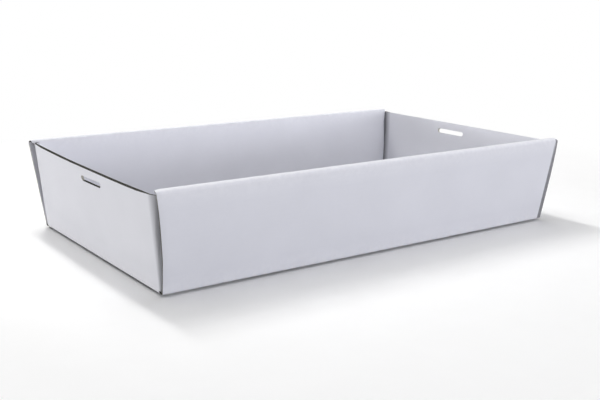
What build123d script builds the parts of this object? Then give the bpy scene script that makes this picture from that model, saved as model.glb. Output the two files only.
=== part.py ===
from build123d import *
import os
from math import atan2, cos, pi, sin, tan

# A shallow white tray box, folded from one die-cut sheet of corrugated board.
# Sizes are in millimetres. X runs along the long walls, Y across them and Z up,
# and the origin is the middle of the base's underside.

# Outside sizes of the folded tray
base_length = 410.0
base_width = 238.0
wall_height = 80.0
long_wall_splay = 10.5
end_wall_splay = 8.0

# The board, the air between two layers of it, and the inside radii of its folds
board = 2.0
layer_gap = 0.3
crease_inside = 0.4
rim_inside = 1.0
rim_rise = 1.6

# The end walls, and the flaps that turn from them into the long walls
end_wall_drop = 2.8
end_wall_bow = 2.5
base_corner_inside = 0.5
rim_corner_inside = 6.0
flap_length_base = 70.0
flap_length_top = 58.0

# How much shorter the rolled rims are along their inner crease, at each end
rim_end_slant = 1.5

# The slots in the end walls that a lid's tongues go into, each off the middle of its wall
slot_length = 38.0
slot_width = 4.6
slot_drop = 10.0
slot_offset = 14.5

# The tabs that lock the inner walls into the base
tab_length = 45.0
tab_spacing = 220.0
tab_clearance = 0.4
inner_wall_lift = 0.6

# Worked out from the sizes above, with the leaning boards' thickness as a level cut shows it
crease_radius = board + crease_inside
rim_radius = board + rim_inside
double_wall = 3 * board + 2 * layer_gap
long_lean = atan2(long_wall_splay, wall_height)
end_lean = atan2(end_wall_splay, wall_height)
flap_level = board / cos(long_lean)
end_wall_level = board / cos(end_lean)
base_corner_radius = base_corner_inside + flap_level
rim_corner_radius = rim_corner_inside + flap_level
end_wall_top = wall_height - end_wall_drop
end_crease_top = crease_radius + layer_gap
rim_top = wall_height + rim_rise


def long_wall_y(z):
    """Outer face of the back wall at a height."""
    return base_width / 2 + long_wall_splay * z / wall_height


def inner_wall_y(z):
    """Face of the back wall that shows inside the tray."""
    return long_wall_y(z) - double_wall / cos(long_lean)


def flap_y(z):
    """Outer face of a back flap, which lies between the back wall's two layers."""
    return long_wall_y(z) - (board + layer_gap) / cos(long_lean)


def end_wall_x(z):
    """Outer face of the right end wall at a height, flush with the long walls' cut ends."""
    return base_length / 2 + end_wall_splay * z / wall_height


def inner_wall_x(z):
    """Cut right end of an inner wall, which stops where the corner starts to bend."""
    return end_wall_x(z) - rim_corner_radius


def bend_reach(radius, inside_angle):
    """How far a bend takes up the board on each side of its corner."""
    return radius / tan(inside_angle / 2)


# The rim's inner crease, where the straight inner wall starts
rim_slope = atan2(rim_rise, long_wall_y(wall_height) - inner_wall_y(rim_top))
inner_wall_top = rim_top - layer_gap - bend_reach(crease_radius, pi / 2 - rim_slope + long_lean)


def both_ends(shape):
    """A shape at the right end, with its mirror image at the left end."""
    return shape + mirror(shape, Plane.YZ)


def both_sides(shape):
    """A shape at the back, with its mirror image at the front."""
    return shape + mirror(shape, Plane.XZ)


def folded_section(points, radii):
    """Section of a folded board, on the left of the line of its outer face."""
    face_line = FilletPolyline(*points, radius=radii)
    return make_face(offset(face_line, amount=board, side=Side.LEFT))


def beyond(end_x, low, high):
    """All that lies past a leaning end line, between two heights."""
    far = base_length
    corners = [(end_x(low), low), (far, low), (far, high), (end_x(high), high)]
    return extrude(Plane.XZ * Polygon(*corners, align=None), amount=base_width, both=True)


def wrap():
    """Base, outer long walls and rolled rims, as one run of board from side to side."""
    back = [
        (base_width / 2, 0),
        (long_wall_y(wall_height), wall_height),
        (inner_wall_y(rim_top), rim_top),
        (inner_wall_y(inner_wall_top), inner_wall_top),
    ]
    front = [(-y, z) for y, z in reversed(back)]
    bends = [crease_radius, rim_radius, crease_radius]
    section = folded_section(front + back, bends + bends)
    sheet = extrude(Plane.YZ * section, amount=end_wall_x(rim_top) + board, both=True)
    ends = beyond(end_wall_x, -board, rim_top + board) + rim_end_cut() + base_end_cut()
    return sheet - both_ends(ends)


def rim_end_cut():
    """What a slanting cut takes from the right ends of the rolled rims."""
    far = base_length
    rim_y = long_wall_y(wall_height)
    tip = end_wall_x(wall_height)
    root = tip - rim_end_slant
    plan = [(tip, rim_y), (root, inner_wall_y(rim_top)), (root, 0), (far, 0), (far, rim_y)]
    height = wall_height - rim_radius
    return both_sides(extrude(Pos(0, 0, height) * Polygon(*plan, align=None), amount=height))


def base_end_cut():
    """Room at the base's right end for the crease of the end wall."""
    start = base_length / 2 - crease_radius
    size = (base_length, base_width - 2 * crease_radius, 2 * end_crease_top)
    return Pos(start, 0, 0) * Box(*size, align=(Align.MIN, Align.CENTER, Align.CENTER))


def leaning_board(bottom, top, length, clearance=0.0):
    """A straight stretch of the back inner wall, or the room for one."""
    depth = board + 2 * clearance
    face = [(inner_wall_y(z) - clearance / cos(long_lean), z) for z in (bottom, top)]
    hidden = [(y + depth * cos(long_lean), z - depth * sin(long_lean)) for y, z in reversed(face)]
    section = Plane.YZ * Polygon(*face, *hidden, align=None)
    return extrude(section, amount=length / 2, both=True)


def tab_row(shape):
    """A shape at each lock tab's place along the back wall."""
    return Part() + GridLocations(tab_spacing, 0, 2, 1) * shape


def inner_walls():
    """Inner layers of both long walls, with the tabs along their lower edges."""
    foot = board + inner_wall_lift
    wall = leaning_board(foot, inner_wall_top, 2 * end_wall_x(rim_top))
    wall -= both_ends(beyond(inner_wall_x, 0, rim_top))
    tab = leaning_board(board * sin(long_lean), 2 * foot, tab_length)
    return both_sides(wall + tab_row(tab))


def tab_slots():
    """Slots in the base that the lock tabs go down into."""
    slot = leaning_board(-board, 2 * board, tab_length + 2 * tab_clearance, tab_clearance)
    return both_sides(tab_row(slot))


def end_line(x, y, corner, flap_end, bow):
    """One face of the right end wall and its flaps, seen from above."""
    flat = y - corner
    # A curve with two middle handles swells by three quarters of their reach.
    handle_x = x + bow * 4 / 3
    return [
        Line((flap_end, -y), (x - corner, -y)),
        JernArc((x - corner, -y), (1, 0), corner, 90),
        Bezier((x, -flat), (handle_x, -flat / 3), (handle_x, flat / 3), (x, flat)),
        JernArc((x, flat), (0, 1), corner, 90),
        Line((x - corner, y), (flap_end, y)),
    ]


def end_outline(z, corner_inside, flap_length, bow):
    """Level section of the right end wall with its two flaps."""
    x = end_wall_x(z)
    y = flap_y(z)
    inner_y = y - flap_level
    flap_end = x - flap_length
    edges = end_line(x, y, corner_inside + flap_level, flap_end, bow)
    edges += end_line(x - end_wall_level, inner_y, corner_inside, flap_end, bow)
    edges += [Line((flap_end, side * y), (flap_end, side * inner_y)) for side in (-1, 1)]
    return Pos(0, 0, z) * make_face(edges)


def end_crease():
    """The bend from the base up into the right end wall."""
    start = base_length / 2 - 2 * crease_radius
    high = 2 * end_crease_top
    section = folded_section([(start, 0), (base_length / 2, 0), (end_wall_x(high), high)], crease_radius)
    section -= Pos(base_length / 2, end_crease_top + high / 2) * Rectangle(base_length, high)
    flat_width = flap_y(end_crease_top) - base_corner_radius
    return extrude(Plane.XZ * section, amount=flat_width, both=True)


def end_slot():
    """The round-ended slot through the right end wall."""
    z = end_wall_top - slot_drop
    outward = (cos(end_lean), 0, -sin(end_lean))
    face = Plane((end_wall_x(z), slot_offset, z), x_dir=(0, 1, 0), z_dir=outward)
    return extrude(face * SlotOverall(slot_length, slot_width), amount=2 * board + end_wall_bow, both=True)


def end_wall():
    """Right end wall with its two flaps, its crease and its slot."""
    low = end_outline(end_crease_top, base_corner_inside, flap_length_base, 0)
    high = end_outline(end_wall_top, rim_corner_inside, flap_length_top, end_wall_bow)
    return loft([low, high], ruled=True) + end_crease() - end_slot()


tray = wrap() - tab_slots()
tray += inner_walls()
right_end = end_wall()
tray += right_end
# The left end is the right one turned half round, so the slots lie corner to corner.
tray += Rot(0, 0, 180) * right_end
tray.label = "folded_tray"

os.makedirs("parts", exist_ok=True)
export_step(tray, "parts/folded_tray.step")
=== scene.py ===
from math import atan2, cos, pi, radians, sin, tan

import bmesh
import bpy
import numpy as np
from mathutils import Matrix, Vector


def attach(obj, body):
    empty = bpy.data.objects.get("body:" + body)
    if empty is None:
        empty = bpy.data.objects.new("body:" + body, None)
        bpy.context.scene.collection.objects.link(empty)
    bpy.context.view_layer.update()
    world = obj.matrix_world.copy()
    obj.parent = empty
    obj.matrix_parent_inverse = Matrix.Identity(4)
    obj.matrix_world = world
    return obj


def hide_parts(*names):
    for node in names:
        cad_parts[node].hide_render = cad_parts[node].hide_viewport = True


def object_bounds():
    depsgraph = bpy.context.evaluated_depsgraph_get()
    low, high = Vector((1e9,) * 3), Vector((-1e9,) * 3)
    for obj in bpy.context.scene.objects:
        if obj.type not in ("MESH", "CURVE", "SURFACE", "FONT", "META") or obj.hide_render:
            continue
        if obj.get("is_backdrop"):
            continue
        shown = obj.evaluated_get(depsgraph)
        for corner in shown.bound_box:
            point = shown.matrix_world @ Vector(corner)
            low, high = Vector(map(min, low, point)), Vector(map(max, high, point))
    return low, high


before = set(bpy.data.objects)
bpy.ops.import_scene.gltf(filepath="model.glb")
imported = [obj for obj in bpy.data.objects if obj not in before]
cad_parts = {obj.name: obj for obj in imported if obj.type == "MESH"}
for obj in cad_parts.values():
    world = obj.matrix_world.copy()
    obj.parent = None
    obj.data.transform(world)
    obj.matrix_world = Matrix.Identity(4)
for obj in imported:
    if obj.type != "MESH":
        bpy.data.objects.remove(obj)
cad_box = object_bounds()

# The white tray box, made of its three papers: two liners with the wavy fluting between
# them, so that every cut edge shows the flutes. Sizes are in millimetres up to the point
# where a mesh is made. X runs along the long walls, Y across them and Z up.
MM = 0.001

# The folded tray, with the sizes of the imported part. The tabs reach down through the base by a
# share of the inner walls' foot.
BASE_LENGTH = 410.0
BASE_WIDTH = 238.0
WALL_HEIGHT = 80.0
LONG_WALL_SPLAY = 10.5
END_WALL_SPLAY = 8.0
BOARD = 2.0
LAYER_GAP = 0.3
CREASE_RADIUS = 2.4
RIM_RADIUS = 3.0
RIM_RISE = 1.6
RIM_END_SLANT = 1.5
END_WALL_DROP = 2.8
END_WALL_BOW = 2.5
BASE_CORNER_INSIDE = 0.5
FLAP_LENGTH_BASE = 70.0
FLAP_LENGTH_TOP = 58.0
SLOT_LENGTH = 38.0
SLOT_WIDTH = 4.6
SLOT_DROP = 10.0
SLOT_OFFSET = 14.5
TAB_LENGTH = 45.0
TAB_SPACING = 220.0
TAB_CLEARANCE = 0.4
TAB_REACH = 0.9
INNER_WALL_LIFT = 0.6

# The papers of the board
LINER = 0.24
FLUTE_PAPER = 0.2
FLUTE_PITCH = 4.0
FLUTE_OVERLAP = 0.02

# How the knife has changed the sheet. Along the end walls' tops it has drawn the outer paper
# down, up to a share of their flat part. It has crushed the long walls' ends thinner, more at
# the right than at the left, and it leans in the slots.
TOP_EDGE_DRAW = 0.9
TOP_EDGE_FADES = (0.90, 0.97)
CRUSH_LEFT = 0.35
CRUSH_RIGHT = 0.5
CRUSH_WIDTH = 5.0
KNIFE_LEAN = 0.22

# The board pressed solid at the slots' round ends: stations past the straight part and rows
# below and above the middle, in slot widths
PAD_STATIONS = (0.25, 0.5, 0.8)
PAD_ROWS = (-0.75, 0.75)

# The two long walls' ends whose flutes the knife has pressed shut: how far the skin over them
# reaches to each side of the cut, the share of a liner that it sinks in, and how wide and deep
# a dark grey strip is painted along them
PRESSED_SKIN = 0.06
PRESSED_SINK = 0.1
DARK_STRIP_WIDTH = (2.5, 3.1)
DARK_STRIP_DEPTH = 0.65 * BOARD

# The corner folds' inside radii at the rim: the left end bends softly and the right end sharply,
# where the inner walls reach further and the end wall leans out
SOFT_CORNER = 11.0
SHARP_CORNER = 1.2
SHARP_STOP = 1.5
END_LEANS_OUT = 2.0

# How far the long walls' ends are out of line: the front wall's left and right end by height,
# and the back wall's top at its left end
FRONT_HEIGHTS = (0, 26, 50, 66, 77, 81)
FRONT_LEFT_SHIFT = (0.6, 2.6, 2.5, 1.9, 1.1, 0)
FRONT_RIGHT_SHIFT = (2.9, 3.4, 3.2, 2.4, 1.2, 1.0)
BACK_SHIFT = -1.4

# How far the inner walls' right ends swell out, by height
INNER_END_HEIGHTS = (5, 40, 78)
INNER_END_SWELL = (0, 1.8, 0)

# How the end walls' top edges fall toward the front: rise at the middle and at a corner
LEFT_TOP = (0.1, 1.15)
RIGHT_TOP = (0.0, 0.25)

# How the folded tray gives: where its walls start, how far they lean in, how far the long
# walls sag in and where that ends, and how deep the waves over the walls are. A wall's waves
# are given by their lengths along it, up it, and slanting over it, how far the two walls' waves
# are out of step, and the slanting waves' share.
LONG_WALLS_FROM = (100, 118)
END_WALLS_FROM = (180, 200)
CORNERS_FROM = (100, 116)
WALL_GIVE = 0.25
LONG_WALL_SAG = 0.35
LONG_WALL_SAG_ENDS = 215
LONG_WALL_RIPPLE = 0.1
LONG_WALL_WAVES = (31, 23, 17, -29, 1.3, 0.6)
END_WALL_RIPPLE = 0.12
END_WALL_WAVES = (27, 21, 15, 25, 0.8, 0.7)

# How finely the meshes follow the sheet. The wrap's rows lie closer together near its ends,
# at the places in END_ROWS.
BEND_STEP = 0.35
RUN_STEP = 12.0
ROW_STEP = 26.0
END_ROWS = (0, 0.5, 1.2, 2.2, 3.4, 4.4, 5.0, 5.6, 6.2, 6.8, 8.5)
STEPS_PER_FLUTE = 6
FLAP_STEPS = 6
CORNER_STEPS = 14
BOW_STEPS = 28
WALL_ROWS = 6
CREASE_STATIONS = 12
PRESSED_STATIONS = 8
SLOT_END_STEPS = 12

# Worked out from the sizes above
LONG_LEAN = atan2(LONG_WALL_SPLAY, WALL_HEIGHT)
END_LEAN = atan2(END_WALL_SPLAY, WALL_HEIGHT)
DOUBLE_WALL = (3 * BOARD + 2 * LAYER_GAP) / cos(LONG_LEAN)
FLAP_LEVEL = BOARD / cos(LONG_LEAN)
END_LEVEL = BOARD / cos(END_LEAN)
RIM_TOP = WALL_HEIGHT + RIM_RISE
RIM_Y = BASE_WIDTH / 2 + LONG_WALL_SPLAY
END_TOP = WALL_HEIGHT - END_WALL_DROP
CREASE_TOP = CREASE_RADIUS + LAYER_GAP
BASE_END = BASE_LENGTH / 2 - CREASE_RADIUS
FOOT = BOARD + INNER_WALL_LIFT
SLOT_Z = END_TOP - SLOT_DROP


def long_wall_y(z):
    """Outer face of the back wall at a height."""
    return BASE_WIDTH / 2 + LONG_WALL_SPLAY * z / WALL_HEIGHT


def inner_wall_y(z):
    """Face of the back wall that shows inside the tray."""
    return long_wall_y(z) - DOUBLE_WALL


def flap_y(z):
    """Outer face of a back flap, between the back wall's two layers."""
    return long_wall_y(z) - (BOARD + LAYER_GAP) / cos(LONG_LEAN)


def end_wall_x(z):
    """Outer face of the right end wall at a height."""
    return BASE_LENGTH / 2 + END_WALL_SPLAY * z / WALL_HEIGHT


def between(low, high, value):
    """How far a value has come from low to high, from 0 to 1."""
    return np.clip((value - low) / (high - low), 0, 1)


class FoldLine:
    """The outer face of a folded board in section: straight runs joined by round bends."""

    def __init__(self, points, radii):
        points = [np.array(p, float) for p in points]
        ways = [(b - a) / np.linalg.norm(b - a) for a, b in zip(points, points[1:])]
        self.parts = []
        self.length = 0.0
        start = points[0]
        for corner, way, turned, radius in zip(points[1:], ways, ways[1:], radii):
            angle = atan2(way[0] * turned[1] - way[1] * turned[0], way @ turned)
            reach = radius * tan(angle / 2)
            self.add_run(start, corner - way * reach, way)
            self.parts.append((self.length, radius * angle, corner - way * reach, way, radius))
            self.length += radius * angle
            start = corner + turned * reach
        self.add_run(start, points[-1], ways[-1])

    def add_run(self, start, end, way):
        run = np.linalg.norm(end - start)
        self.parts.append((self.length, run, start, way, None))
        self.length += run

    def at(self, distance):
        """Points at distances along the line, and the directions into the board there."""
        rounding = 1e-9
        distance = np.asarray(distance, float)
        place = np.zeros(distance.shape + (2,))
        inward = np.zeros(distance.shape + (2,))
        for begins, length, start, way, radius in self.parts:
            here = distance >= begins - rounding
            along = distance[here] - begins
            left = np.array([-way[1], way[0]])
            if radius is None:
                place[here] = start + along[:, None] * way
                inward[here] = left
            else:
                turn = along[:, None] / radius
                inward[here] = left * np.cos(turn) - way * np.sin(turn)
                place[here] = start + radius * (left - inward[here])
        return place, inward

    def stations(self):
        """Distances that follow the bends finely and the runs coarsely."""
        found = [0.0]
        for begins, length, start, way, radius in self.parts:
            step = RUN_STEP if radius is None else BEND_STEP
            count = max(1, round(length / step))
            found += list(begins + length * np.arange(1, count + 1) / count)
        return np.array(found)


def flute_stations(first, last):
    """Evenly spaced places across the flutes, several to each flute."""
    count = round((last - first) / FLUTE_PITCH * STEPS_PER_FLUTE)
    return np.linspace(first, last, count + 1)


# The kinds of paper surface, in the order of the materials
LINER_FACE, CUT_EDGE, FLUTING = range(3)


def face_outward(mesh):
    """Turns all faces of closed shells outward."""
    shells = bmesh.new()
    shells.from_mesh(mesh)
    bmesh.ops.recalc_face_normals(shells, faces=shells.faces)
    shells.to_mesh(mesh)
    shells.free()


def closed_object(name, points, faces, kinds):
    """An object from a closed shell's points in metres, faces and kinds of faces."""
    mesh = bpy.data.meshes.new(name)
    mesh.from_pydata(points, [], faces)
    mesh.polygons.foreach_set("material_index", kinds)
    face_outward(mesh)
    piece = bpy.data.objects.new(name, mesh)
    bpy.context.scene.collection.objects.link(piece)
    return piece


def band(place, across, along, near, far, sides):
    """A closed sheet of paper between two depths in the board, with the kinds of its sides."""
    grids = []
    for depth in (near, far):
        depths = depth(across)[:, None] + 0 * along[None, :]
        grids.append(place(across[:, None] + 0 * depths, depths, along[None, :] + 0 * depths))
    points = np.concatenate([g.reshape(-1, 3) for g in grids]) * MM
    rows = len(along)
    size = len(across) * rows
    corner = np.arange(len(across) - 1)[:, None] * rows + np.arange(rows - 1)[None, :]
    corner = corner.ravel()
    face = np.stack([corner, corner + rows, corner + rows + 1, corner + 1], axis=1)
    rim = list(range(0, size, rows)) + list(range(size - rows + 1, size))
    rim += list(range(size - rows - 1, 0, -rows)) + list(range(rows - 2, 0, -1))
    rim = np.array(rim)
    after = np.roll(rim, -1)
    edge = np.stack([rim, rim + size, after + size, after], axis=1)
    faces = np.concatenate([face, face[:, ::-1] + size, edge])
    counts = [len(face), len(face), len(edge)]
    kinds = np.repeat(np.array(sides + (CUT_EDGE,), np.int32), counts)
    return closed_object("paper", points.tolist(), faces.tolist(), kinds)


def level(depth):
    """The same depth in the board all the way across."""
    return lambda across: depth + 0 * across


def board(place, paper_stations, first, last, along):
    """Both liners and the fluting of one stretch of board."""
    swing = (BOARD - 2 * LINER - FLUTE_PAPER) / 2 + FLUTE_OVERLAP

    def wave(across):
        return BOARD / 2 + swing * np.cos(2 * pi * across / FLUTE_PITCH)

    sides = (LINER_FACE, FLUTING)
    inner_depths = (level(BOARD - LINER), level(BOARD))
    outer = band(place, paper_stations, along, level(0), level(LINER), sides)
    inner = band(place, paper_stations, along, *inner_depths, sides[::-1])
    flutes = band(
        place,
        flute_stations(first, last),
        along,
        lambda across: wave(across) - FLUTE_PAPER / 2,
        lambda across: wave(across) + FLUTE_PAPER / 2,
        (FLUTING, FLUTING),
    )
    return [outer, inner, flutes]


def cut(pieces, cutter):
    """Cuts a shape out of papers, and takes the cutter away."""
    for piece in pieces:
        tool = piece.modifiers.new("cut", "BOOLEAN")
        tool.operation = "DIFFERENCE"
        tool.solver = "EXACT"
        tool.object = cutter
        evaluated = piece.evaluated_get(bpy.context.evaluated_depsgraph_get())
        mesh = bpy.data.meshes.new_from_object(evaluated)
        piece.modifiers.clear()
        piece.data = mesh
    bpy.data.objects.remove(cutter)


def prism(outline, low, high, turn):
    """A closed prism with a level outline, turned into place, as an object."""
    count = len(outline)
    points = [turn @ Vector((x, y, z)) * MM for z in (low, high) for x, y in outline]
    faces = [list(range(count))[::-1], list(range(count, 2 * count))]
    for i in range(count):
        j = (i + 1) % count
        faces.append([i, j, j + count, i + count])
    return closed_object("cutter", points, faces, np.full(len(faces), CUT_EDGE, np.int32))


def along_x(lean=0.0):
    """A turn that lays a prism along X with its outline in Y and Z, sinking by a lean."""
    return Matrix(((0, 0, 1), (1, 0, 0), (0, 1, -lean)))


# Where the back's outer and inner wall stand among the parts of the wrap's line
OUTER_WALL, INNER_WALL = -5, -1

# Over what stretch of the wrap's line its ends pass from the base's line to the wall's, from
# the wall's to the slanting rim's, and from the rim's to the inner wall's
BASE_END_PASSES = (-0.1, 0.2)
RIM_END_PASSES = 0.5
INNER_END_PASSES = 1.2


def wrap_line():
    """The wrap in section: inner walls, rims, outer long walls and base, as one run."""
    back = [
        (BASE_WIDTH / 2, 0),
        (RIM_Y, WALL_HEIGHT),
        (inner_wall_y(RIM_TOP), RIM_TOP),
        (inner_wall_y(FOOT), FOOT),
    ]
    front = [(-y, z) for y, z in reversed(back)]
    bends = [CREASE_RADIUS, RIM_RADIUS, CREASE_RADIUS]
    return FoldLine(front + back, bends + bends)


def crushed(depth, along, from_middle):
    """Depths in the wrap's board, where the long walls' cut ends are crushed thinner."""
    share = 0
    for crush, from_end in ((CRUSH_LEFT, along), (CRUSH_RIGHT, 1 - along)):
        share = share + crush * (1 - between(0, CRUSH_WIDTH, from_end * BASE_LENGTH)) ** 2
    fold = BASE_WIDTH / 2
    on_wall = between(fold - CREASE_RADIUS, fold + CREASE_RADIUS, from_middle)
    return BOARD - (BOARD - depth) * (1 - share * on_wall)


def wall_shift(along, y, z):
    """How far each point of a long wall lies to the right of where it should."""
    left = np.interp(z, FRONT_HEIGHTS, FRONT_LEFT_SHIFT)
    right = np.interp(z, FRONT_HEIGHTS, FRONT_RIGHT_SHIFT)
    front = (1 - along) * left + along * right
    back = (1 - along) * BACK_SHIFT * z / WALL_HEIGHT
    return np.where(y < 0, front, back)


def wrap_place(line):
    """Where a point of the wrap lies, from its place across, its depth and its row."""
    middle = line.length / 2
    outer_begins, outer_length = line.parts[OUTER_WALL][:2]
    rim_starts = outer_begins + outer_length - middle
    inner_wall_starts = line.parts[INNER_WALL][0] - middle
    base_ends = BASE_WIDTH / 2 - CREASE_RADIUS
    base_passes = [base_ends + step for step in BASE_END_PASSES]

    def place(across, depth, along):
        shape = across.shape
        across, depth, along = across.ravel(), depth.ravel(), along.ravel()
        spot, inward = line.at(across + middle)
        from_middle = np.abs(across)
        spot = spot + inward * crushed(depth, along, from_middle)[:, None]
        y, z = spot[:, 0], spot[:, 1]
        past_base = between(*base_passes, from_middle)
        on_rim = between(rim_starts, rim_starts + RIM_END_PASSES, from_middle)
        inner_passes = (inner_wall_starts, inner_wall_starts + INNER_END_PASSES)
        on_inner = between(*inner_passes, from_middle)
        rim_share = between(RIM_Y, inner_wall_y(RIM_TOP), np.abs(y))
        wall_end = end_wall_x(z) - RIM_END_SLANT * rim_share * on_rim
        swell = np.interp(z, INNER_END_HEIGHTS, INNER_END_SWELL)
        stop = np.where(along < 0.5, SOFT_CORNER, SHARP_STOP - swell) + FLAP_LEVEL
        wall_end = wall_end - on_inner * (stop - RIM_END_SLANT)
        end = BASE_END + past_base * (wall_end - BASE_END)
        shift = past_base * (1 - on_inner) * wall_shift(along, y, z)
        x = (2 * along - 1) * end + shift
        return np.stack([x, y, z], axis=1).reshape(shape + (3,))

    return place


def wrap_rows():
    """Places along the wrap, closer together near its ends, from 0 to 1."""
    near_end = np.array(END_ROWS) / BASE_LENGTH
    middle = np.linspace(0, 1, round(BASE_LENGTH / ROW_STEP) + 1)[1:-1]
    return np.concatenate([near_end, middle, 1 - near_end[::-1]])


def pressed_ends(line):
    """Caps over the two cut ends whose flutes the knife has pressed shut."""
    fold = BASE_WIDTH / 2
    across = np.linspace(fold + CREASE_RADIUS, fold + WALL_HEIGHT - RIM_RADIUS, PRESSED_STATIONS)
    skin = np.array([-PRESSED_SKIN, PRESSED_SKIN]) / BASE_LENGTH
    sink = PRESSED_SINK * LINER
    levels = (level(sink), level(BOARD - sink))
    kinds = (CUT_EDGE, CUT_EDGE)
    place = wrap_place(line)
    return [
        band(place, across, skin, *levels, kinds),
        band(place, -across[::-1], 1 + skin, *levels, kinds),
    ]


def tab_slot_outline(side):
    """Section of the leaning slot that a lock tab goes through."""
    depth = (BOARD + 2 * TAB_CLEARANCE) / cos(LONG_LEAN)
    outline = []
    for z in (-BOARD, BOARD + INNER_WALL_LIFT / 2):
        near = inner_wall_y(z) - TAB_CLEARANCE / cos(LONG_LEAN)
        outline.append([(side * near, z), (side * (near + depth), z)])
    return outline[0] + outline[1][::-1]


def lock_tabs():
    """The tabs along the inner walls' feet, and the cutters of their slots in the base."""
    drop = TAB_REACH * FOOT
    half = TAB_LENGTH / 2
    ends = np.array([-half, half])
    reach = half + TAB_CLEARANCE
    tabs = []
    cutters = []
    for side in (-1, 1):
        for middle in (-TAB_SPACING / 2, TAB_SPACING / 2):

            def place(across, depth, along):
                z = FOOT - drop * along - depth * sin(LONG_LEAN)
                y = inner_wall_y(z) + depth / cos(LONG_LEAN)
                return np.stack([middle + across, side * y, z], axis=-1)

            tabs += board(place, ends, -half, half, np.array([0.0, 1.0]))
            outline = tab_slot_outline(side)
            cutters.append(prism(outline, middle - reach, middle + reach, along_x()))
    return tabs, cutters


def end_line(x, y, corner, flap_end, bow):
    """Runs of points along one face of the right end wall and its flaps, seen from above."""
    flat = y - corner
    turn = np.linspace(0, pi / 2, CORNER_STEPS + 1)
    step = np.linspace(0, 1, BOW_STEPS + 1)
    run = np.linspace(0, 1, FLAP_STEPS + 1)
    front_flap = np.stack([flap_end + (x - corner - flap_end) * run, -y + 0 * run], 1)
    bend = [x - corner + corner * np.sin(turn), -flat - corner * np.cos(turn)]
    front_bend = np.stack(bend, 1)
    wall = np.stack([x + 4 * bow * step * (1 - step), flat * (2 * step - 1)], 1)
    back_bend = front_bend[::-1] * (1, -1)
    back_flap = front_flap[::-1] * (1, -1)
    return np.concatenate([front_flap, front_bend[1:], wall[1:], back_bend[1:], back_flap[1:]])


def end_faces(z, corner_inside, flap_length, bow):
    """Outer and inner faces of the right end wall at a height."""
    x = end_wall_x(z)
    y = flap_y(z)
    flap_end = x - flap_length
    outer = end_line(x, y, corner_inside + FLAP_LEVEL, flap_end, bow)
    inner = end_line(x - END_LEVEL, y - FLAP_LEVEL, corner_inside, flap_end, bow)
    return outer, inner


def end_wall_place(side):
    """Where a point of an end wall lies, and the places across that follow its corners."""
    low = end_faces(CREASE_TOP, BASE_CORNER_INSIDE, FLAP_LENGTH_BASE, 0)
    rim_corner, out = (SHARP_CORNER, END_LEANS_OUT) if side > 0 else (SOFT_CORNER, 0)
    high = end_faces(END_TOP, rim_corner, FLAP_LENGTH_TOP, END_WALL_BOW - out)
    for face in high:
        face[:, 0] += out
    steps = np.linalg.norm(np.diff(high[0], axis=0), axis=1)
    stations = np.concatenate([[0], np.cumsum(steps)]) - steps.sum() / 2
    flat_half = -stations[FLAP_STEPS + CORNER_STEPS]
    middle, corner = RIGHT_TOP if side > 0 else LEFT_TOP

    def place(across, depth, along):
        share = depth / BOARD
        spot = []
        for axis in (0, 1):
            faces = []
            for outer, inner in (low, high):
                near = np.interp(across, stations, outer[:, axis])
                far = np.interp(across, stations, inner[:, axis])
                faces.append(near + (far - near) * share)
            spot.append(faces[0] + (faces[1] - faces[0]) * along)
        top = END_TOP + middle + corner * np.clip(side * spot[1] / (BASE_WIDTH / 2), -1, 1)
        on_flat = 1 - between(*TOP_EDGE_FADES, np.abs(across) / flat_half)
        top = top - TOP_EDGE_DRAW * (1 - share) * (along == 1) * on_flat
        z = CREASE_TOP + (top - CREASE_TOP) * along
        return np.stack([side * spot[0], side * spot[1], z], axis=-1)

    return place, stations


def end_crease_place(side):
    """Where a point of the bend from the base up into an end wall lies."""
    line = FoldLine(
        [(BASE_END, 0), (BASE_LENGTH / 2, 0), (end_wall_x(CREASE_TOP), CREASE_TOP)],
        [CREASE_RADIUS],
    )
    half = flap_y(CREASE_TOP) - BASE_CORNER_INSIDE - FLAP_LEVEL

    def place(across, depth, along):
        spot, inward = line.at((along * line.length).ravel())
        spot = spot + inward * depth.ravel()[:, None]
        x, z = spot.T.reshape((2,) + across.shape)
        return np.stack([side * x, side * across, z], axis=-1)

    return place, half, line.stations() / line.length


def slot_cutter(side):
    """The round-ended shape of the slot through an end wall."""
    turn = np.linspace(-pi / 2, pi / 2, SLOT_END_STEPS + 1)
    straight = (SLOT_LENGTH - SLOT_WIDTH) / 2
    radius = SLOT_WIDTH / 2
    right = [(straight + radius * np.cos(a), radius * np.sin(a)) for a in turn]
    whole = right + [(-y, -z) for y, z in right]
    outline = [((y + SLOT_OFFSET) * side, z) for y, z in whole]
    inside, outside = -2 * BOARD * side, 3 * BOARD * side
    cutter = prism(outline, inside, outside, along_x(side * KNIFE_LEAN))
    cutter.location = Vector((side * (end_wall_x(SLOT_Z) + END_WALL_BOW / 2), 0, SLOT_Z)) * MM
    return cutter


def slot_pads(place, side):
    """Board pressed solid at a slot's round ends, to be cut with the slot."""
    reach = (SLOT_LENGTH - SLOT_WIDTH) / 2 + SLOT_WIDTH * np.array(PAD_STATIONS)
    height = SLOT_Z - CREASE_TOP + SLOT_WIDTH * np.array(PAD_ROWS)
    rows = height / (END_TOP - CREASE_TOP)
    levels = (level(LINER), level(BOARD - LINER))
    pads = []
    for end in (-1, 1):
        across = np.sort(SLOT_OFFSET + end * reach)
        pads.append(band(place, across, rows, *levels, (CUT_EDGE, CUT_EDGE)))
    return pads


def unevenness(run, rise, side, waves):
    """Gentle waves over a wall, along and up it."""
    along, up, slant, slant_up, step, slant_share = waves
    upright = np.sin(run / along + step * side) * np.cos(rise / up)
    return upright + slant_share * np.sin(run / slant + rise / slant_up)


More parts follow.
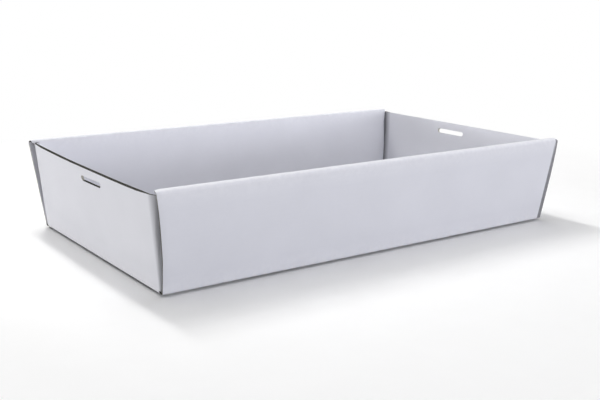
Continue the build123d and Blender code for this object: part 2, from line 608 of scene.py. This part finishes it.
def settle(points):
    """The slight give of the folded tray, in place: walls and base are never quite flat."""
    x, y, z = points.T / MM
    height = np.clip(z / WALL_HEIGHT, 0, 1)
    on_long = between(*LONG_WALLS_FROM, np.abs(y))
    on_end = between(*END_WALLS_FROM, np.abs(x)) * (1 - between(*CORNERS_FROM, np.abs(y)))
    ripple = LONG_WALL_RIPPLE * unevenness(x, z, np.sign(y), LONG_WALL_WAVES)
    inward = WALL_GIVE + ripple + LONG_WALL_SAG * (1 - (x / LONG_WALL_SAG_ENDS) ** 2)
    y = y - np.sign(y) * on_long * inward * height * (1 - 0.5 * height)
    inward = WALL_GIVE + END_WALL_RIPPLE * unevenness(y, z, np.sign(x), END_WALL_WAVES)
    x = x - np.sign(x) * on_end * inward * np.sqrt(height)
    points[:] = np.stack([x, y, z], axis=1) * MM


# The looks: values that each point of a piece carries for its materials. First, how far the
# wear beside a fold reaches
FOLD_WEAR = (1.5, 5.0)

# Shade is painted into the corner folds, from the turn where they leave the end wall's face to
# where they are deep, more so at the corners that gape, and less toward the base. Inside the
# tray painted shade fills the gap behind an inner wall's end and fades away from the flap. It
# starts a little past the inner wall's end and stops a little above the end wall's top.
GROOVE_TURNS = (radians(6), radians(44))
GAPING_SHADE = 1.0
CLOSED_SHADE = 0.2
SHADE_AT_BASE = 0.7
GAP_FADES = (1.8, 4.2)
PAST_INNER_WALL = 0.3
GAP_ABOVE = 1.4

# How much painted shade of open flutes the long walls' cut ends carry where they aren't pressed
# shut: within the rim's bend, and below it
FLUTES_IN_RIM = 0.1
FLUTES_IN_WALL = 0.6


def fold_strength(x, y, z):
    """How near each point is to a fold, from 0 to 1."""
    x, y = np.abs(x), np.abs(y)
    lines = [
        np.hypot(y - BASE_WIDTH / 2, z),
        np.hypot(y - RIM_Y, z - WALL_HEIGHT),
        np.hypot(y - inner_wall_y(RIM_TOP), z - RIM_TOP),
        np.hypot(x - BASE_LENGTH / 2, z),
    ]
    return 1 - between(*FOLD_WEAR, np.min(lines, axis=0))


def groove_painted_shade(x, y, z):
    """Painted shade on each point of the corner folds and their gaps, from 0 to 1."""
    touching, never_zero = 0.1, 0.001
    height = between(CREASE_TOP, END_TOP, z)
    at_right = x > 0
    rim_corner = np.where(at_right, SHARP_CORNER, SOFT_CORNER)
    wall_x = end_wall_x(z) + np.where(at_right, END_LEANS_OUT, 0) * height
    wall_end = end_wall_x(z) - FLAP_LEVEL - np.where(at_right, SHARP_STOP, SOFT_CORNER)
    shade = np.where(x * y > 0, GAPING_SHADE, CLOSED_SHADE)
    x, y = np.abs(x), np.abs(y)
    radius = BASE_CORNER_INSIDE + (rim_corner - BASE_CORNER_INSIDE) * height + FLAP_LEVEL
    across = y - (flap_y(z) - radius)
    along = np.maximum(x - (wall_x - radius), 0)
    on_face = np.abs(np.hypot(across, along) - radius) < LINER
    on_flap = (np.abs(y - flap_y(z)) < touching) & (along == 0)
    turn = np.arctan2(across, along + never_zero)
    outer = np.where(on_flap, 1, between(*GROOVE_TURNS, turn) * on_face) * shade
    outer = outer * (SHADE_AT_BASE + (1 - SHADE_AT_BASE) * height)
    behind = flap_y(z) - FLAP_LEVEL - y
    in_gap = (x > wall_end + PAST_INNER_WALL) & (x < wall_x - 0.5 * BOARD)
    in_gap = in_gap & (z > CREASE_TOP) & (z < END_TOP + GAP_ABOVE) & (behind > -LINER)
    return np.maximum(outer, (1 - between(*GAP_FADES, behind)) * in_gap)


def dark_end_strip(x, y, z):
    """Where a dark grey strip is painted along two of the long walls' ends, from 0 to 1."""
    spare = 0.5
    from_end = end_wall_x(z) - x * np.sign(-y)
    on_wall = (np.abs(y) > long_wall_y(z) - DARK_STRIP_DEPTH) & (z > spare)
    on_wall = on_wall & (z < WALL_HEIGHT + spare)
    return on_wall * (1 - between(*DARK_STRIP_WIDTH, from_end))


def flute_cavity_shade(x, y, z):
    """Painted shade of a cut edge's open flutes, from 0 where they are pressed shut to 1."""
    into_round, past_flap = 0.2, 0.1
    along = np.abs(y - np.sign(x) * SLOT_OFFSET) - (SLOT_LENGTH - SLOT_WIDTH) / 2
    at_slot = (along > into_round) & (along < SLOT_WIDTH) & (np.abs(z - SLOT_Z) < SLOT_WIDTH)
    on_long = np.abs(y) > flap_y(z) + past_flap
    in_rim = z > WALL_HEIGHT - RIM_RADIUS
    pressed = np.where(x * y > 0, np.where(in_rim, FLUTES_IN_RIM, FLUTES_IN_WALL), 0.0)
    return np.where(at_slot, 0.0, np.where(on_long, pressed, 1.0))


def across_flutes(x, y, z):
    """Each point's place across the flutes."""
    past_inner_wall, above_base = 8, 2.2
    on_wall = np.abs(y) > BASE_WIDTH / 2 - CREASE_RADIUS - past_inner_wall
    return np.where(on_wall & (z > above_base), z, y)


ALL_LOOKS = (fold_strength, flute_cavity_shade, across_flutes)
WRAP_LOOKS = ALL_LOOKS + (dark_end_strip,)
END_LOOKS = ALL_LOOKS + (groove_painted_shade,)
SHARP_EDGE = radians(32)


def join(name, papers, materials, looks):
    """Joins papers into one finished piece on the tray's body."""
    vertices = []
    faces = []
    kinds = []
    count = 0
    for paper in papers:
        mesh = paper.data
        spots = np.zeros(3 * len(mesh.vertices))
        mesh.vertices.foreach_get("co", spots)
        vertices.append(spots.reshape(-1, 3))
        faces += [[v + count for v in p.vertices] for p in mesh.polygons]
        kinds += [p.material_index for p in mesh.polygons]
        count += len(mesh.vertices)
        bpy.data.objects.remove(paper)
    points = np.concatenate(vertices)
    values = {look.__name__: look(*points.T / MM).astype(float) for look in looks}
    settle(points)
    mesh = bpy.data.meshes.new(name)
    mesh.from_pydata(points.tolist(), [], faces)
    for material in materials:
        mesh.materials.append(material)
    mesh.polygons.foreach_set("material_index", kinds)
    for look, value in values.items():
        mesh.attributes.new(look, "FLOAT", "POINT").data.foreach_set("value", value)
    mesh.shade_smooth()
    mesh.set_sharp_from_angle(angle=SHARP_EDGE)
    piece = bpy.data.objects.new(name, mesh)
    bpy.context.scene.collection.objects.link(piece)
    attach(piece, "root")
    return piece


class Nodes:
    """The node tree of a material or world, with short ways to add and join nodes."""

    def __init__(self, owner):
        owner.use_nodes = True
        self.tree = owner.node_tree

    def add(self, kind, inputs=None, **settings):
        node = self.tree.nodes.new(kind)
        for key, value in settings.items():
            setattr(node, key, value)
        for key, value in (inputs or {}).items():
            self.feed(node.inputs[key], value)
        return node

    def feed(self, socket, value):
        if isinstance(value, bpy.types.NodeSocket):
            self.tree.links.new(value, socket)
        else:
            socket.default_value = value

    def here(self):
        """The place on the object, in metres."""
        return self.add("ShaderNodeTexCoord").outputs["Object"]

    def noise(self, where, scale, detail, stretch=(1, 1, 1)):
        mapped = self.add("ShaderNodeMapping", {"Vector": where, "Scale": stretch})
        inputs = {"Vector": mapped.outputs[0], "Scale": scale, "Detail": detail}
        return self.add("ShaderNodeTexNoise", inputs).outputs["Fac"]

    def look(self, name):
        return self.add("ShaderNodeAttribute", attribute_name=name).outputs["Fac"]

    def math(self, operation, a, b=0.0):
        return self.add("ShaderNodeMath", {0: a, 1: b}, operation=operation).outputs[0]

    def span(self, value, low, high, to_low=0.0, to_high=1.0):
        inputs = {"Value": value, "From Min": low, "From Max": high}
        inputs |= {"To Min": to_low, "To Max": to_high}
        return self.add("ShaderNodeMapRange", inputs).outputs[0]

    def mix(self, share, a, b):
        node = self.add("ShaderNodeMix", data_type="RGBA")
        for key, value in (("Factor", share), ("A", a), ("B", b)):
            self.feed(node.inputs[key], value)
        return node.outputs["Result"]

    def mix_shaders(self, share, a, b):
        return self.add("ShaderNodeMixShader", {0: share, 1: a, 2: b}).outputs[0]

    def bump(self, height, distance, normal=None):
        inputs = {"Height": height, "Distance": distance, "Strength": 1.0}
        if normal:
            inputs["Normal"] = normal
        return self.add("ShaderNodeBump", inputs).outputs[0]

    def looked_at(self):
        """1 for what the camera sees, directly or in gloss or glass, and 0 for other light."""
        path = self.add("ShaderNodeLightPath").outputs
        seen = self.math("MAXIMUM", path["Is Camera Ray"], path["Is Glossy Ray"])
        return self.math("MAXIMUM", seen, path["Is Transmission Ray"])


def colour(red, green, blue):
    return (red, green, blue, 1.0)


def new_material(name):
    """A new material, its nodes and its shader."""
    material = bpy.data.materials.new(name)
    nodes = Nodes(material)
    return material, nodes, nodes.tree.nodes["Principled BSDF"]


# The liner's colours: its two cloudy tones, its fibres, where it is worn, its painted shade,
# and the dark grey strip painted along two long walls' ends
PAPER_DARK = colour(0.745, 0.747, 0.79)
PAPER_LIGHT = colour(0.775, 0.777, 0.82)
PAPER_FIBRE = colour(0.66, 0.66, 0.68)
PAPER_WORN = colour(0.86, 0.86, 0.89)
PAINTED_SHADE_COLOUR = colour(0.12, 0.12, 0.13)
PAPER_DARK_STRIP = colour(0.17, 0.17, 0.18)
MOST_PAINTED_SHADE = 0.72

# Its grain: scale and detail of the clouds, the mottle and the stretched fibres, how high they
# and the flutes under the paper stand out, and what the grain's usual range is turned into
CLOUDS = (22.0, 4.0)
MOTTLE = (240.0, 3.0)
FIBRES = (1500.0, 2.0, (0.25, 1, 1))
CLOUD_RELIEF = 0.4 * MM
FIBRE_RELIEF = 0.012 * MM
FLUTE_RELIEF = 0.006 * MM
CLOUD_RANGE = (0.3, 0.7)
MOTTLE_TO_WEAR = (0.35, 0.7, 0.3, 0.8)
MOTTLE_TO_DARK_STRIP = (0.2, 0.8, 0.85, 0.97)
MOTTLE_TO_ROUGHNESS = (0.2, 0.8, 0.52, 0.68)
FIBRES_TO_TONE = (0.25, 0.75, 0, 0.08)

# The bare papers: name, scale of the grain, and two greys each where the flutes are shut and
# where they stand open with painted shade, then the grain they share, and how warm their grey is
BARE_PAPERS = (
    ("cut_edge", 2200.0, (0.56, 0.68), (0.10, 0.18)),
    ("fluting", 1300.0, (0.4, 0.5), (0.05, 0.10)),
)
BARE_DETAIL = 4.0
BARE_STRETCH = (1, 1, 0.4)
BARE_RANGE = (0.3, 0.7)
BARE_RELIEF = 0.04 * MM
BARE_WARMTH = np.array([1, 0.975, 0.86])


def liner_paper():
    """Smooth white paper: cloudy at arm's length, fibrous close up, greyer where it is worn,
    with painted shade in its corner grooves and a dark grey strip along two walls' ends.
    """
    material, n, shader = new_material("white_liner")
    where = n.here()
    clouds = n.noise(where, *CLOUDS)
    mottle = n.noise(where, *MOTTLE)
    fibres = n.noise(where, *FIBRES)
    worn = n.math("MULTIPLY", n.look("fold_strength"), n.span(mottle, *MOTTLE_TO_WEAR))
    # Painted shade in the corner folds and in the gaps behind the inner walls' ends
    painted_shade = n.math("MULTIPLY", n.look("groove_painted_shade"), MOST_PAINTED_SHADE)
    # A dark grey strip painted along two long walls' ends
    dark_strip = n.math("MULTIPLY", n.look("dark_end_strip"), n.span(mottle, *MOTTLE_TO_DARK_STRIP))
    tone = n.mix(n.span(clouds, *CLOUD_RANGE), PAPER_DARK, PAPER_LIGHT)
    tone = n.mix(n.span(fibres, *FIBRES_TO_TONE), tone, PAPER_FIBRE)
    tone = n.mix(worn, tone, PAPER_WORN)
    tone = n.mix(painted_shade, tone, PAINTED_SHADE_COLOUR)
    tone = n.mix(dark_strip, tone, PAPER_DARK_STRIP)
    n.feed(shader.inputs["Base Color"], tone)
    n.feed(shader.inputs["Roughness"], n.span(mottle, *MOTTLE_TO_ROUGHNESS))
    shader.inputs["Specular IOR Level"].default_value = 0.3
    across = n.math("MULTIPLY", n.look("across_flutes"), 2 * pi / FLUTE_PITCH)
    surface = n.bump(n.math("SINE", across), FLUTE_RELIEF)
    surface = n.bump(clouds, CLOUD_RELIEF, surface)
    surface = n.bump(fibres, FIBRE_RELIEF, surface)
    n.feed(shader.inputs["Normal"], surface)
    return material


def rough_paper(name, scale, shut, opened):
    """Bare grey paper with painted shade in open flutes. Each shade is a pair of greys."""
    material, n, shader = new_material(name)
    grain = n.noise(n.here(), scale, BARE_DETAIL, BARE_STRETCH)
    share = n.span(grain, *BARE_RANGE)
    shades = []
    for pair in (shut, opened):
        dark, light = (colour(*grey * BARE_WARMTH) for grey in pair)
        shades.append(n.mix(share, dark, light))
    # Painted shade where the cut flutes stand open
    n.feed(shader.inputs["Base Color"], n.mix(n.look("flute_cavity_shade"), *shades))
    shader.inputs["Roughness"].default_value = 0.92
    shader.inputs["Specular IOR Level"].default_value = 0.15
    n.feed(shader.inputs["Normal"], n.bump(grain, BARE_RELIEF))
    return material


def build_wrap(materials):
    """The base, the long walls with their rims, and the lock tabs."""
    line = wrap_line()
    middle = line.length / 2
    sheet = board(wrap_place(line), line.stations() - middle, -middle, middle, wrap_rows())
    tabs, cutters = lock_tabs()
    for cutter in cutters:
        cut(sheet, cutter)
    return join("wrap", sheet + tabs + pressed_ends(line), materials, WRAP_LOOKS)


def build_end(name, side, materials):
    """An end wall with its flaps, its slot and its crease."""
    place, stations = end_wall_place(side)
    wall = board(place, stations, stations[0], stations[-1], np.linspace(0, 1, WALL_ROWS))
    wall += slot_pads(place, side)
    cut(wall, slot_cutter(side))
    place, half, rise = end_crease_place(side)
    crease = board(place, np.linspace(-half, half, CREASE_STATIONS), -half, half, rise)
    return join(name, wall + crease, materials, END_LOOKS)


def build_tray():
    bare = [rough_paper(*paper) for paper in BARE_PAPERS]
    materials = [liner_paper()] + bare
    pieces = [build_wrap(materials)]
    for name, side in (("right_end", 1), ("left_end", -1)):
        pieces.append(build_end(name, side, materials))
    for piece in pieces:
        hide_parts("folded_tray")


build_tray()
scene = bpy.context.scene
scene.view_settings.view_transform = "Standard"

# The camera, at the photo's place, in metres
CAMERA_AZIMUTH = radians(-35.43)
CAMERA_ELEVATION = radians(13.29)
CAMERA_ROLL = radians(0.56)
CAMERA_PLACE = (-0.47898, -0.67515, 0.21718)
CAMERA_NEAREST = 0.01
FOCAL_PIXELS = 890.66
PICTURE_WIDTH = 600
SENSOR_WIDTH = 36.0


def photo_camera():
    """The camera that sees the tray as the photo does."""
    data = bpy.data.cameras.new("camera")
    data.sensor_width = SENSOR_WIDTH
    data.lens = FOCAL_PIXELS * SENSOR_WIDTH / PICTURE_WIDTH
    data.clip_start = CAMERA_NEAREST
    camera = bpy.data.objects.new("camera", data)
    scene.collection.objects.link(camera)
    turned = Matrix.Rotation(CAMERA_AZIMUTH, 4, "Z")
    turned = turned @ Matrix.Rotation(pi / 2 - CAMERA_ELEVATION, 4, "X")
    turned = turned @ Matrix.Rotation(CAMERA_ROLL, 4, "Z")
    camera.matrix_world = Matrix.Translation(CAMERA_PLACE) @ turned
    scene.camera = camera


photo_camera()

# The lamps, in metres and watts. The key lamps hang on an arc behind the tray, one above the
# other, and throw its shadow forward. The others are big and far, so that their light is even.
KEY_ARC = 1.45
KEY_X = -0.04
KEY_SIZE = (0.12, 0.36)
KEYS = ((48, 1.4), (57, 4.2), (68, 2.9))
MIDDLE = (0, 0, 0)
WALLS = (0, 0, 0.05)
WHITE = (1.0, 1.0, 1.0)
WARM = (1.0, 1.0, 0.99)
COOL = (0.99, 0.99, 1.0)
BLUE = (0.93, 0.94, 1.0)

# Each lamp's name, place, what it faces, width and height, power, and tint
LAMPS = (
    ("ceiling", (0, 0.5, 2.4), MIDDLE, (3.0, 3.0), 49.0, WHITE),
    ("front", (0.2, -2.2, 0.6), WALLS, (1.6, 0.8), 14.5, BLUE),
    ("front_low", (0.6, -2.2, 0.26), WALLS, (1.6, 0.42), 12.0, BLUE),
    ("front_right", (1.7, -1.8, 0.2), WALLS, (1.4, 0.34), 9.5, BLUE),
    ("left_back", (-1.9, 1.3, 0.3), WALLS, (1.4, 0.4), 2.0, WARM),
    ("left_low", (-2.1, 0.6, 0.09), WALLS, (1.4, 0.16), 23.0, COOL),
    ("right", (2.3, 0.3, 0.3), WALLS, (1.4, 0.4), 6.0, BLUE),
)


def area_light(name, place, target, size, power, tint):
    """A soft rectangular lamp that faces a target."""
    data = bpy.data.lights.new(name, "AREA")
    data.shape = "RECTANGLE"
    data.size, data.size_y = size
    data.energy = power
    data.color = tint
    lamp = bpy.data.objects.new(name, data)
    scene.collection.objects.link(lamp)
    lamp.location = place
    away = Vector(target) - Vector(place)
    lamp.rotation_euler = away.to_track_quat("-Z", "Y").to_euler()


for elevation, power in KEYS:
    up = radians(elevation)
    key_place = (KEY_X, KEY_ARC * cos(up), KEY_ARC * sin(up))
    area_light("key_%d" % elevation, key_place, MIDDLE, KEY_SIZE, power, WHITE)
for lamp in LAMPS:
    area_light(*lamp)

# The room's own light, and the floor: how far it reaches, how far below the tray it lies,
# where it starts to turn plain white and where it has, its grain and two cloudy tones, and the
# grey that it has for light that bounces
ROOM_COLOUR = colour(0.97, 0.975, 1.0)
ROOM_STRENGTH = 0.02
PLAIN_WHITE = colour(1, 1, 1)
FLOOR_REACH = 4.0
FLOOR_DROP = 0.0016
FLOOR_FADES = (0.38, 0.62)
FLOOR_GRAIN = (30.0, 3.0)
FLOOR_RANGE = (0.3, 0.7)
FLOOR_DARK = colour(0.975, 0.972, 0.963)
FLOOR_LIGHT = colour(0.99, 0.987, 0.978)
FLOOR_BOUNCE = colour(0.45, 0.45, 0.45)


def white_room():
    """Even faint light all round, plain white where it is looked at."""
    world = bpy.data.worlds.new("room")
    n = Nodes(world)
    n.tree.nodes.clear()
    light = n.add("ShaderNodeBackground", {"Color": ROOM_COLOUR, "Strength": ROOM_STRENGTH})
    white = n.add("ShaderNodeBackground", {"Color": PLAIN_WHITE, "Strength": 1.0})
    mixed = n.mix_shaders(n.looked_at(), light.outputs[0], white.outputs[0])
    n.add("ShaderNodeOutputWorld", {"Surface": mixed})
    scene.world = world


def white_floor():
    """A pale floor that keeps the tray's shadow and turns plain white further off."""
    mesh = bpy.data.meshes.new("floor")
    turns = ((-1, -1), (1, -1), (1, 1), (-1, 1))
    corners = [(FLOOR_REACH * x, FLOOR_REACH * y, 0) for x, y in turns]
    mesh.from_pydata(corners, [], [(0, 1, 2, 3)])
    floor = bpy.data.objects.new("floor", mesh)
    floor.location.z = -FLOOR_DROP
    scene.collection.objects.link(floor)
    floor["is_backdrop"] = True
    material, n, shader = new_material("floor_paper")
    mesh.materials.append(material)
    where = n.here()
    looked_at = n.looked_at()
    grain = n.span(n.noise(where, *FLOOR_GRAIN), *FLOOR_RANGE)
    pale = n.mix(grain, FLOOR_DARK, FLOOR_LIGHT)
    n.feed(shader.inputs["Base Color"], n.mix(looked_at, FLOOR_BOUNCE, pale))
    shader.inputs["Roughness"].default_value = 0.9
    shader.inputs["Specular IOR Level"].default_value = 0.1
    white = n.add("ShaderNodeEmission", {"Color": PLAIN_WHITE, "Strength": 1.0})
    away = n.add("ShaderNodeVectorMath", {0: where}, operation="LENGTH").outputs["Value"]
    far = n.math("MULTIPLY", n.span(away, *FLOOR_FADES), looked_at)
    mixed = n.mix_shaders(far, shader.outputs[0], white.outputs[0])
    n.feed(n.tree.nodes["Material Output"].inputs["Surface"], mixed)


white_room()
white_floor()

visual_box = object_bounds()
sizes = {"cad": cad_box, "visual": visual_box}
{name: [list(corner) for corner in box] for name, box in sizes.items()}
